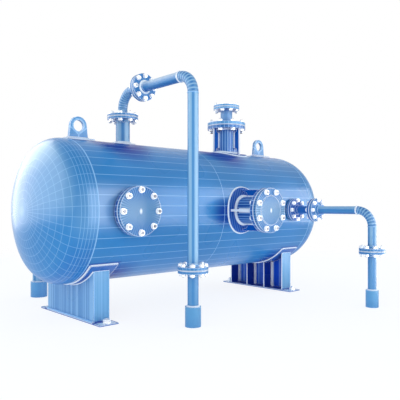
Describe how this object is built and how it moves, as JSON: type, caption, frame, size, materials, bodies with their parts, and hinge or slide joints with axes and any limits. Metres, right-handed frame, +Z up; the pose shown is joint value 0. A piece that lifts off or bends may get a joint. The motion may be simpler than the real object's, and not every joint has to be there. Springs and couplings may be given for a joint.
{
  "type": "horizontal vapour condenser vessel",
  "caption": "Horizontal vessel with dished ends on two saddles, with bolted manways, a gusseted top nozzle, lifting lugs and flanged pipe lines that run down to grade.",
  "frame": {"origin": "on the ground at the middle of the four anchor bolt holes, under mid-length of the vessel", "axes": "+X along the vessel from its inlet end to its outlet end, -Y out of its front with the manways, +Z up"},
  "size_m": [4.4, 3.78, 2.753],
  "materials": {
    "shell_paint": "gloss mid-blue coating with a fine pale line grid",
    "cover_paint": "gloss light-blue coating with pale lines from the centre",
    "saddle_paint": "gloss blue coating",
    "lug_paint": "gloss blue coating",
    "gusset_paint": "gloss deep-blue coating",
    "foot_paint": "gloss blue coating",
    "pipe_paint": "gloss light-blue coating with pale rings",
    "gasket": "matt pale sheet"
  },
  "bodies": {
    "root": {"shell_course_left": "shell_paint", "shell_course_right": "shell_paint", "head_left": "shell_paint", "head_right": "shell_paint", "lifting_lug_left": "lug_paint", "lifting_lug_right": "lug_paint", "saddle_left_base_plate": "saddle_paint", "saddle_left_web": "saddle_paint", "saddle_left_ribs": "saddle_paint", "saddle_left_wear_plate": "saddle_paint", "saddle_right_base_plate": "saddle_paint", "saddle_right_web": "saddle_paint", "saddle_right_ribs": "saddle_paint", "saddle_right_wear_plate": "saddle_paint", "manway_left_neck": "pipe_paint", "manway_left_cover": "cover_paint", "manway_right_pad": "gusset_paint", "manway_right_neck": "pipe_paint", "manway_right_gussets": "gusset_paint", "manway_right_cover": "cover_paint", "top_nozzle_pad": "gusset_paint", "top_nozzle_neck": "pipe_paint", "top_nozzle_gussets": "gusset_paint", "top_nozzle_reducer": "pipe_paint", "top_nozzle_blind": "cover_paint", "inlet_pad": "gusset_paint", "inlet_neck": "pipe_paint", "inlet_elbow": "pipe_paint", "riser_bridge": "pipe_paint", "riser_elbow": "pipe_paint", "riser_drop": "pipe_paint", "riser_leg": "pipe_paint", "riser_foot": "foot_paint", "outlet_neck": "pipe_paint", "outlet_spool": "pipe_paint", "outlet_run": "pipe_paint", "outlet_elbow": "pipe_paint", "outlet_drop": "pipe_paint", "outlet_leg": "pipe_paint", "outlet_foot": "foot_paint", "drain_neck": "pipe_paint", "drain_bend": "pipe_paint", "drain_leg": "pipe_paint", "drain_foot": "foot_paint", "gaskets": "gasket"}
  },
  "joints": []
}
